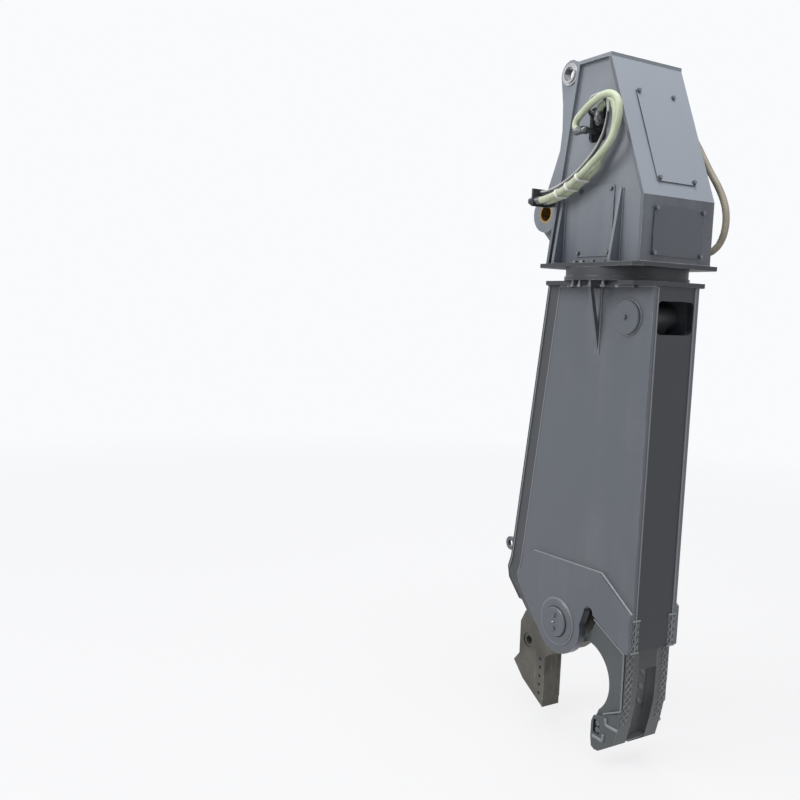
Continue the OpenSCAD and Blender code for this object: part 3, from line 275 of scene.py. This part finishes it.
sleeves = {
    "sleeve": {"pale": (0.46, 0.50, 0.37), "dark": (0.33, 0.37, 0.26), "dirt": (0.14, 0.15, 0.11)},
    "oldSleeve": {"pale": (0.30, 0.27, 0.21), "dark": (0.20, 0.18, 0.14), "dirt": (0.09, 0.08, 0.07)},
    "paleTube": {"pale": (0.42, 0.42, 0.42), "dark": (0.30, 0.30, 0.30), "dirt": (0.12, 0.12, 0.12)},
    "nylon": {"pale": (0.70, 0.70, 0.66), "dark": (0.58, 0.58, 0.54), "dirt": (0.30, 0.29, 0.26)}}


def sleeveFinish(name, spec):
    finish = Finish(name)
    cloud = finish.noise(9, 5)
    color = finish.mix(finish.ramp(cloud, 0.35, 0.70), spec["dark"], spec["pale"])
    color = finish.mix(finish.ramp(finish.noise(30, 5, 0.7), 0.56, 0.72) * 0.5, color, spec["dirt"])
    return finish.shade({"Base Color": color, "Roughness": 0.46 + cloud * 0.2,
                         "Normal": finish.bump(finish.noise(420, 2), 0.0008, 0.4)})


def rubberFinish():
    finish = Finish("blackRubber")
    cloud = finish.noise(22, 4)
    color = finish.mix(cloud, (0.012, 0.012, 0.013), (0.035, 0.035, 0.036))
    return finish.shade({"Base Color": color, "Roughness": 0.42 + cloud * 0.25,
                         "Normal": finish.bump(finish.noise(300, 2), 0.0005, 0.3)})


def bronzeFinish():
    finish = Finish("bushBronze")
    stain = finish.noise(18, 5)
    color = finish.mix(stain, (0.42, 0.27, 0.10), (0.24, 0.15, 0.07))
    return finish.shade({"Base Color": color, "Metallic": 0.9, "Roughness": 0.28 + stain * 0.25})


# The camera sees the floor mostly at its own even colour, with the light and shadow on it softened,
# and far off at the sky's colour
def floorFinish():
    finish = Finish("floor")
    dim = tuple(c * room["dimmer"] for c in room["floorColor"])
    finish.shade({"Base Color": finish.mix(finish.noise(0.4, 3), room["floorColor"], dim), "Roughness": 0.8})
    reach = finish.node("ShaderNodeVectorMath", {"operation": "LENGTH"}, {0: finish.place}, "Value")
    away = finish.ramp(reach, *room["fade"])
    even = away * (1 - room["evenness"]) + room["evenness"]
    near, far = (finish.node("ShaderNodeEmission", {}, {"Color": (*room[k], 1)}) for k in ("seenFloor", "sky"))
    seen = finish.node("ShaderNodeMixShader", {}, {0: away, 1: near, 2: far})
    lit = Wire(finish, finish.shader.outputs[0])
    both = finish.node("ShaderNodeMixShader", {}, {0: finish.seenRay() * even, 1: lit, 2: seen})
    finish.surface(both, "Material Output")
    return finish.material


def addRoom():
    mesh = bpy.data.meshes.new("floor")
    reach, sides = room["floorRadius"], room["floorSides"]
    turns = [2 * math.pi * i / sides for i in range(sides)]
    rim = [(reach * math.cos(t), reach * math.sin(t), room["floorZ"]) for t in turns]
    mesh.from_pydata(rim, [], [tuple(range(sides))])
    mesh.materials.append(floorFinish())
    floor = bpy.data.objects.new("floor", mesh)
    scene.collection.objects.link(floor)
    world = bpy.data.worlds.new("studio")
    scene.world = world
    sky = Finish("studio", world)
    color = (*room["sky"], 1)
    lit = sky.node("ShaderNodeBackground", {}, {"Color": color, "Strength": room["skyLight"]})
    seen = sky.node("ShaderNodeBackground", {}, {"Color": color, "Strength": 1.0})
    both = sky.node("ShaderNodeMixShader", {}, {0: sky.seenRay(), 1: lit, 2: seen})
    sky.surface(both, "World Output")


addCamera()
addLight()
addRoom()
print("camera, light and room")

finishes = {name: paintFinish(name, spec) for name, spec in paints.items()}
finishes["jaw"] = jawFinish()
finishes.update({key: steelFinish(*spec) for key, spec in steels.items()})
finishes.update({name: sleeveFinish(name, spec) for name, spec in sleeves.items()})
finishes["rubber"] = rubberFinish()
finishes["bronze"] = bronzeFinish()

# Which finish each CAD node takes
dressing = {
    "headPaint": ["head_side_near", "head_side_far", "head_back_plate", "boom_pin_boss", "side_gussets",
                  "side_covers", "ears", "head_top_plate"],
    "litSlopePaint": ["head_front_plate", "slope_cover"],
    "sidePaint": ["body_side_near", "body_side_far", "top_fins", "cheek_near", "cheek_far",
                  "pivot_collars", "pivot_caps", "cylinder_pin_caps", "lifting_eyes"],
    "shadedCoverPaint": ["lower_front_cover"],
    "clawPaint": ["jaw_plate_near", "jaw_plate_far"],
    "ringPaint": ["ring_outer", "ring_flange", "hose_clamp"],
    "shadedFrontPaint": ["base_plate", "body_top_plate", "body_front_plate", "body_back_plate", "corner_plates",
                   "nose_plate"],
    "innerPaint": ["slew_motor", "swivel_housing", "cylinder_bosses", "barrel", "throat_block"],
    "bolt": ["cover_bolts", "ring_bolts", "flange_bolts", "port_elbows", "jaw_screws"],
    "steel": ["ring_geared", "slew_pinion", "swivel_spindle", "cylinder_pin", "pivot_pin", "rod_pin_middle",
              "rod_pin_ends", "arm_pin_bushes"],
    "darkSteel": ["fixed_blades"],
    "chrome": ["rod"],
    "jaw": ["moving_jaw", "jaw_blades"],
    "socket": ["jaw_blade_bolts"],
    "bronze": ["boom_pin_bushes", "jaw_bushes"],
    "sleeve": ["hose_pair", "hose_far"],
    "rubber": ["hose_thin_pair"],
    "nylon": ["hose_ties"]}
rounding = {"plate": 0.0025, "jaw": 0.004, "angle": 32}
smoothNodes = ["hose_pair", "hose_far", "hose_thin_pair"]


def dressNodes():
    for finish, nodes in dressing.items():
        for node in nodes:
            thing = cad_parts[node]
            thing.data.materials.clear()
            thing.data.materials.append(finishes[finish])
            if node in smoothNodes:
                continue
            edge = thing.modifiers.new("edge", "BEVEL")
            edge.width = rounding["jaw"] if finish == "jaw" else rounding["plate"]
            edge.segments = 2
            edge.limit_method = "ANGLE"
            edge.angle_limit = math.radians(rounding["angle"])


dressNodes()
print("CAD nodes dressed")


def piece(name, points, faces, finish, body):
    mesh = bpy.data.meshes.new(name)
    mesh.from_pydata([tuple(p) for p in points], [], faces)
    mesh.materials.append(finishes[finish])
    mesh.polygons.foreach_set("use_smooth", [True] * len(mesh.polygons))
    mesh.update()
    thing = bpy.data.objects.new(name, mesh)
    scene.collection.objects.link(thing)
    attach(thing, body)
    return thing


# Several rings of points skinned into one closed body
def skin(rings):
    count = len(rings[0])
    points = [p for ring in rings for p in ring]
    faces = [tuple(range(count - 1, -1, -1)), tuple(range((len(rings) - 1) * count, len(rings) * count))]
    for i in range(len(rings) - 1):
        for k in range(count):
            a, b = i * count, i * count + count
            j = (k + 1) % count
            faces.append((a + k, a + j, b + j, b + k))
    return points, faces


def smoothPath(route, step):
    points = []
    for i in range(len(route) - 1):
        a, b = route[max(i - 1, 0)], route[i]
        c, d = route[i + 1], route[min(i + 2, len(route) - 1)]
        count = max(2, round((c - b).length / step))
        for n in range(count):
            t = n / count
            points.append(0.5 * (2 * b + (c - a) * t + (2 * a - 5 * b + 4 * c - d) * t * t
                                 + (3 * b - a - 3 * c + d) * t ** 3))
    points.append(route[-1])
    return points


# Rings along a path, turned as little as possible from one to the next;
# radius is a function of the length along it and the angle round it
def sweep(path, sides, radius):
    rings, along = [], 0.0
    u = (path[1] - path[0]).orthogonal().normalized()
    for i, p in enumerate(path):
        t = (path[min(i + 1, len(path) - 1)] - path[max(i - 1, 0)]).normalized()
        u = (u - t * u.dot(t)).normalized()
        v = t.cross(u)
        if i:
            along += (p - path[i - 1]).length
        ring = []
        for k in range(sides):
            angle = 2 * math.pi * k / sides
            ring.append(p + (u * math.cos(angle) + v * math.sin(angle)) * radius(along, angle))
        rings.append(ring)
    return rings


# Turned pieces: a profile of (radius, height) in millimetres, stood on a place along a direction
def turned(profile, place, direction, sides=28):
    direction = Vector(direction).normalized()
    u = direction.orthogonal().normalized()
    v = direction.cross(u)
    return skin([[place + direction * (h / 1000) + (u * math.cos(2 * math.pi * k / sides)
                  + v * math.sin(2 * math.pi * k / sides)) * (r / 1000) for k in range(sides)]
                 for r, h in profile])


def gather(shapes):
    points, faces = [], []
    for morePoints, moreFaces in shapes:
        start = len(points)
        points += morePoints
        faces += [tuple(start + i for i in face) for face in moreFaces]
    return points, faces


# Weld beads: a low round bead with the ripples of a hand-laid seam; sizes are radii
bead = {"ripple": 7.5, "step": 2.6, "swell": 0.16, "sides": 8}
beads = {"head": 6, "body": 6, "cheek": 9, "claw": 5.5, "pivot": 6, "pin": 5, "ledge": 7, "nose": 12,
         "crossed": 2.6}


def seam(points, size):
    path = []
    for a, b in zip(points, points[1:]):
        count = max(2, round((b - a).length * 1000 / bead["step"]))
        path += [a.lerp(b, n / count) for n in range(count)]
    path.append(points[-1])

    def radius(along, angle):
        phase = along * 1000 / bead["ripple"] % 1
        return size / 1000 * (1 - bead["swell"] + bead["swell"] * abs(math.sin(math.pi * phase)))
    return skin(sweep(path, bead["sides"], radius))


def mirrored(path):
    return [Vector((p.x, -p.y, p.z)) for p in path]


def bothSides(paths):
    return paths + [mirrored(p) for p in paths]


def circlePath(center, radius, y, steps=72):
    turns = [math.radians(360 * i / steps) for i in range(steps + 1)]
    return [at(center[0] + radius * math.cos(t), y, center[1] + radius * math.sin(t)) for t in turns]


# Beads lap the plates' corners by 1 to 4 mm
head = {"top": 1313, "foot": 106, "bend": 487, "front": 391, "ridge": 63, "rearTop": 228, "rearFoot": 424,
        "sideY": 270, "seamY": 292, "inset": 24, "gussets": (-300, 195), "gussetTop": 536, "gussetHalf": 12,
        "gussetDepth": 76, "backY": 98, "backTop": 1291, "backFoot": 140}


def backX(z):
    share = (head["rearFoot"] - head["rearTop"]) * (head["top"] - z) / (head["top"] - head["foot"])
    return -head["rearTop"] - share


def headWelds():
    y, inset = -head["sideY"], head["inset"]
    top, foot, front, ridge = head["top"], head["foot"], head["front"], head["ridge"] - inset
    paths = [
        [at(ridge, y, top - 2), at(front - inset, y, head["bend"] - 4), at(front - inset, y, foot + 3)],
        [at(backX(top) + inset, y, top - 2), at(backX(foot) + inset, y, foot + 3)],
        [at(backX(foot) + inset, y, foot + 2), at(front - inset, y, foot + 2)],
        [at(backX(top) + inset, y, top - 3), at(ridge, y, top - 3)],
        [at(backX(z), -head["backY"], z) for z in (head["backTop"], head["backFoot"])],
        [at(front + 2, -head["seamY"], foot + 3), at(front + 2, 0, foot + 3)]]
    for x in head["gussets"]:
        for dx in (-head["gussetHalf"], head["gussetHalf"]):
            paths.append([at(x + dx, y - 2, head["gussetTop"]), at(x + dx, y - 2, foot + 2),
                          at(x + dx, y - head["gussetDepth"], foot + 2)])
    return gather([seam(p, beads["head"]) for p in bothSides(paths)])


# The seal in the slew ring's gap, as (radius, height)
seal = {"z": 26, "sides": 96, "profile": [(362, -1.5), (371, -1.2), (373.5, 0.0), (371, 2.2), (362, 2.4)]}


def ringSeal():
    return turned(seal["profile"], at(0, 0, seal["z"]), (0, 0, 1), seal["sides"])


side = {"front": 418, "rearTop": 392, "bulge": 640, "bulgeZ": -1950, "half": 189, "inner": 157, "cheek": 213,
        "frontSeam": 47, "footZ": -2224, "finX": (-27, -3), "finFoot": -450, "corner": 147, "cornerY": 150,
        "pivot": (-212, -2226), "pivotRing": 152, "pin": (225, -214), "pinRing": 107}
cheekLine = [(-627.8, -2084.3), (-651.1, -2030.1), (-600.1, -1950.1), (-559.8, -1880.1), (-489.8, -1824.7),
             (-251.1, -1817.1), (150.3, -1803.3), (418, -1984.7)]
clawLine = [(103, -2112), (374, -2247), (377, -2606), (233, -2681)]


def bodyWelds():
    y, front, rear, inner = -side["half"], side["front"], -side["rearTop"], -side["inner"]
    bulge, bulgeZ, corner, cornerY = -side["bulge"], side["bulgeZ"], side["corner"], -side["cornerY"]
    paths = [
        [at(front - side["frontSeam"], inner + 2, z) for z in (side["footZ"], -30)],
        [at(front - 2, y + 3, -28), at(rear, y - 2, -28)]]
    paths += [[at(x, y - 2, -30), at(x, y - 2, side["finFoot"])] for x in side["finX"]]
    paths += [
        [at(rear - 1, y + 1, -30), at(bulge - 1, y + 1, bulgeZ), at(-668, y + 1, -2030),
         at(-652, y + 1, -2095)],
        [at(rear - corner, cornerY, -30), at(bulge - corner, cornerY, bulgeZ), at(-815, cornerY, -2030)],
        [at(front + 1, inner + 1, -32), at(front + 1, inner + 1, -2222)]]
    shapes = [seam(p, beads["body"]) for p in bothSides(paths)]
    shapes += [seam(p, beads["cheek"]) for p in bothSides([[at(x, y - 2, z) for x, z in cheekLine]])]
    shapes += [seam(p, beads["claw"]) for p in bothSides([[at(x, y - 1, z) for x, z in clawLine]])]
    for s in (-1, 1):
        collar = circlePath(side["pivot"], side["pivotRing"], s * (side["cheek"] + 2))
        cap = circlePath(side["pin"], side["pinRing"], s * (side["half"] + 2))
        shapes += [seam(collar, beads["pivot"]), seam(cap, beads["pin"])]
    return gather(shapes)


# Hardfacing: crossed weld runs laid on the rubbing faces, along a line of [x, z] points
hard = {"pitch": 46, "height": 4.5, "step": 3.2, "bead": 0.11,
        "upper": (-2034, -2224), "upperY": (-184, 122), "upperWidth": 62,
        "lower": (-2236, -2716), "lowerY": (-181, 121), "lowerWidth": 60,
        "border": 4, "thick": 0.4, "sink": 0.3, "rough": 0.18}
backLine = [(391, -2210), (391, -2450), (384, -2582), (361, -2710), (327, -2850)]


# Place and lean of the line after a length s
def alongLine(line, s):
    for a, b in zip(line, line[1:]):
        length = math.dist(a, b)
        if s <= length or b == line[-1]:
            x, z = (a[i] + (b[i] - a[i]) * (s / length) for i in (0, 1))
            return x, z, math.atan2(a[1] - b[1], b[0] - a[0]) - math.pi / 2
        s -= length


# Each strip's line, where it starts on it, its length, inner y and width
def hardStrips():
    top, foot = hard["upper"]
    high, low = hard["lower"]
    front = [(side["front"], top), (side["front"], foot)]
    strips = [(front, 0, top - foot, y, hard["upperWidth"]) for y in hard["upperY"]]
    start = backLine[0][1] - high
    return strips + [(backLine, start, high - low, y, hard["lowerWidth"]) for y in hard["lowerY"]]


def hardStrip(line, start, length, y0, width):
    rows, columns = round(length / hard["step"]), round(width / hard["step"])
    points = []
    for i in range(rows + 1):
        run = length * i / rows
        x, z, lean = alongLine(line, start + run)
        for j in range(columns + 1):
            across = width * j / columns
            a, b = (run + across) / hard["pitch"] % 1, (run - across) / hard["pitch"] % 1
            ridge = max(math.exp(-((c - 0.5) / hard["bead"]) ** 2) for c in (a, b))
            ridge *= 1 - hard["rough"] + hard["rough"] * math.sin(run * 0.9) * math.sin(across * 1.1)
            border = min(1, min(run, length - run, across, width - across) / hard["border"])
            height = (hard["thick"] + hard["height"] * ridge) * border - hard["sink"]
            points.append(at(x + math.cos(lean) * height, y0 + across, z - math.sin(lean) * height))
    count = columns + 1
    faces = [(i * count + j, i * count + j + 1, (i + 1) * count + j + 1, (i + 1) * count + j)
             for i in range(rows) for j in range(columns)]
    return points, faces


# A paler bead along every crossed run
def crossedBeads(line, start, length, y0, width):
    shapes, size = [], beads["crossed"]
    for way in (-1, 1):
        for k in range(-2, round(length / hard["pitch"]) + 2):
            path = []
            for across in range(2, width - 1, 4):
                run = hard["pitch"] * (k + 0.5) + way * across
                if hard["border"] < run < length - hard["border"]:
                    x, z, lean = alongLine(line, start + run)
                    path.append(at(x + math.cos(lean) * size, y0 + across, z - math.sin(lean) * size))
            if len(path) > 2:
                shapes.append(seam(path, size))
    return gather(shapes)


# Short weld ledges that end the upper strips, and bars on the nose, in pale weld paint that is partly a painted
# highlight on the nose's rounded edges
ledge = {"y": (121, 185), "noseY": 184, "bars": [[(355, -2742), (262, -2744), (252, -2700)],
                                                 [(243, -2812), (236, -2860), (150, -2858)]]}


def ledges():
    shapes = []
    for s in (-1, 1):
        for z in (hard["upper"][0] + 6, hard["upper"][1] - 2):
            shapes.append(seam([at(side["front"] + 2, s * y, z) for y in ledge["y"]], beads["ledge"]))
        for bar in ledge["bars"]:
            shapes.append(seam([at(x, s * ledge["noseY"], z) for x, z in bar], beads["nose"]))
    return gather(shapes)


# Hoses: routes as the drawing gives them, in [x, z] beside the head
hose = {"size": 43, "ridge": 12, "upperY": -382, "innerY": -320, "thinY": -351, "thin": 15.6,
        "groove": 0.075, "grooveWidth": 0.10}
upperLoop = [(-74, 890), (-87, 890), (-109, 905), (-118, 930), (-104, 960), (-64, 990), (-8, 1024), (55, 1052),
             (115, 1066), (172, 1060), (217, 1030), (240, 980), (240, 920), (224, 860), (192, 802), (128, 742)]
innerLoop = [(8, 968), (8, 978), (14, 1002), (36, 1030), (72, 1042), (110, 1034), (140, 1006), (153, 965),
             (152, 905), (136, 845), (100, 785), (55, 726)]
bundle = [(20, 668), (-65, 614), (-155, 568), (-245, 534), (-335, 514), (-400, 506), (-446, 506)]
thinLoop = [(-20, 1062), (45, 1068), (95, 1042), (118, 985), (115, 915), (95, 845), (55, 780), (0, 722),
            (-70, 668), (-150, 620), (-235, 582), (-320, 556), (-400, 543), (-446, 543)]
thinStart = [(-52, -258, 975), (-52, -300, 978), (-50, -335, 990), (-44, -351, 1015), (-36, -351, 1040)]
farRoute = [(120, 326, 930), (120, 338, 930), (124, 356, 921), (136, 378, 895), (168, 396, 830),
            (238, 402, 715), (318, 404, 600), (374, 402, 500), (398, 400, 410), (396, 396, 320), (376, 384, 250),
            (344, 364, 206), (312, 346, 193), (300, 334, 190), (300, 322, 190)]


# A sleeve wound from flat strip: a shallow groove runs round it like a screw thread
def sleeved(route):
    path = smoothPath([at(*p) for p in route], 0.003)

    def radius(along, angle):
        turn = (along * 1000 / hose["ridge"] + angle / (2 * math.pi)) % 1
        groove = math.exp(-((turn - 0.5) / hose["grooveWidth"]) ** 2)
        return hose["size"] / 2000 * (1 - hose["groove"] * groove)
    return skin(sweep(path, 20, radius))


ferrule = [(0, -2), (23.0, -2), (24.5, 0), (24.5, 6), (23.2, 8), (24.5, 10), (24.5, 16), (23.2, 18), (24.5, 20),
           (24.5, 26), (23.2, 28), (24.5, 30), (24.5, 40), (22.6, 42), (0, 42)]


def addHoses():
    upper = [(x, hose["upperY"], z) for x, z in upperLoop + bundle]
    inner = [(x, hose["innerY"], z) for x, z in innerLoop + bundle]
    pair = piece("hosePair", *gather([sleeved(upper), sleeved(inner)]), "sleeve", "head")
    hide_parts("hose_pair")
    far = piece("hoseFar", *sleeved(farRoute), "oldSleeve", "head")
    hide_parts("hose_far")
    thinRoute = thinStart + [(x, hose["thinY"], z) for x, z in thinLoop]
    for name, lift, finish in (("hoseThinLower", 0, "rubber"), ("hoseThinUpper", 20, "paleTube")):
        path = smoothPath([at(x, y, z + lift) for x, y, z in thinRoute], 0.006)
        thin = piece(name, *skin(sweep(path, 14, lambda along, angle: hose["thin"] / 2000)), finish, "head")
        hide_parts("hose_thin_pair")
    ends = []
    for route in (upper, inner, farRoute):
        for a, b in ((route[0], route[1]), (route[-1], route[-2])):
            ends.append(turned(ferrule, at(*a), at(*b) - at(*a), 32))
    piece("hoseFerrules", *gather(ends), "bolt", "head")


# Grease nipples, one on each pivot cap and on each end of the boom pin's boss
nipple = [(0, -1), (6, -1), (6, 4), (4.5, 6), (4.5, 9), (5.5, 11), (5.5, 13), (3.5, 16), (0, 17)]
nipples = {"sides": 16, "capY": 240.5, "boss": (-620, 110, 566)}


def addNipples():
    x, z = side["pivot"]
    bossX, bossY, bossZ = nipples["boss"]
    caps = [turned(nipple, at(x, s * nipples["capY"], z), (0, s, 0), nipples["sides"]) for s in (-1, 1)]
    bosses = [turned(nipple, at(bossX, s * bossY, bossZ), (0, 0, 1), nipples["sides"]) for s in (-1, 1)]
    piece("greaseNipples", *gather(caps), "steel", "body")
    piece("bossNipples", *gather(bosses), "steel", "head")


piece("headWelds", *headWelds(), "headPaint", "head")
piece("ringSeal", *ringSeal(), "rubber", "body")
piece("bodyWelds", *bodyWelds(), "weldPaint", "body")
piece("hardfacing", *gather([hardStrip(*strip) for strip in hardStrips()]), "hardPaint", "body")
piece("hardBeads", *gather([crossedBeads(*strip) for strip in hardStrips()]), "weldPaint", "body")
piece("ledges", *ledges(), "weldPaint", "body")
addHoses()
addNipples()
print("welds, hardfacing and hoses made")
